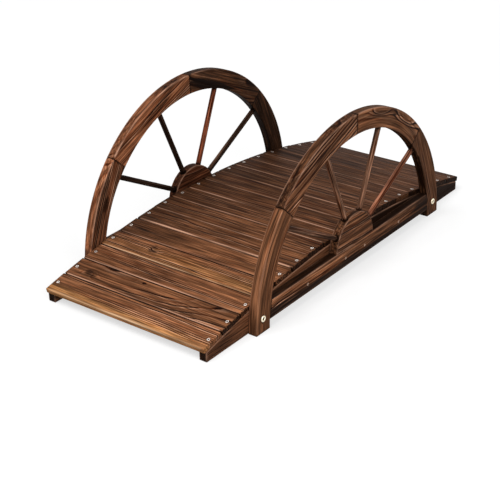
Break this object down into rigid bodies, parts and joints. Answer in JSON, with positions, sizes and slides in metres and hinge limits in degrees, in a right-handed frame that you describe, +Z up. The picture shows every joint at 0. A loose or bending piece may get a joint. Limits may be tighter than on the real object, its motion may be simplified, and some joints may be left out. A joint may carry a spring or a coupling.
{
  "type": "garden footbridge",
  "caption": "Low arched wooden garden footbridge: cross boards on two arched side beams, with a spoked half-wheel side rail at each edge.",
  "frame": {"origin": "centre of the bridge on the ground", "axes": "+X along the walkway towards the rear end, +Y to the left-hand half wheel, +Z up"},
  "size_m": [0.9994, 0.4748, 0.36],
  "materials": {
    "deck_wood": "scorched and oiled fir, satin",
    "frame_wood": "scorched and oiled fir, satin",
    "spoke_wood": "scorched and oiled turned dowel, satin"
  },
  "bodies": {
    "root": {"deck_board_01": "deck_wood", "deck_board_02": "deck_wood", "deck_board_03": "deck_wood", "deck_board_04": "deck_wood", "deck_board_05": "deck_wood", "deck_board_06": "deck_wood", "deck_board_07": "deck_wood", "deck_board_08": "deck_wood", "deck_board_09": "deck_wood", "deck_board_10": "deck_wood", "deck_board_11": "deck_wood", "deck_board_12": "deck_wood", "deck_board_13": "deck_wood", "deck_board_14": "deck_wood", "deck_board_15": "deck_wood", "deck_board_16": "deck_wood", "deck_board_17": "deck_wood", "left_stringer": "frame_wood", "left_rail": "frame_wood", "left_hub": "frame_wood", "left_front_leg": "frame_wood", "left_front_top": "frame_wood", "left_rear_top": "frame_wood", "left_rear_leg": "frame_wood", "right_stringer": "frame_wood", "right_rail": "frame_wood", "right_hub": "frame_wood", "right_front_leg": "frame_wood", "right_front_top": "frame_wood", "right_rear_top": "frame_wood", "right_rear_leg": "frame_wood", "left_spoke_1": "spoke_wood", "left_spoke_2": "spoke_wood", "left_spoke_3": "spoke_wood", "left_spoke_4": "spoke_wood", "right_spoke_1": "spoke_wood", "right_spoke_2": "spoke_wood", "right_spoke_3": "spoke_wood", "right_spoke_4": "spoke_wood"}
  },
  "joints": []
}
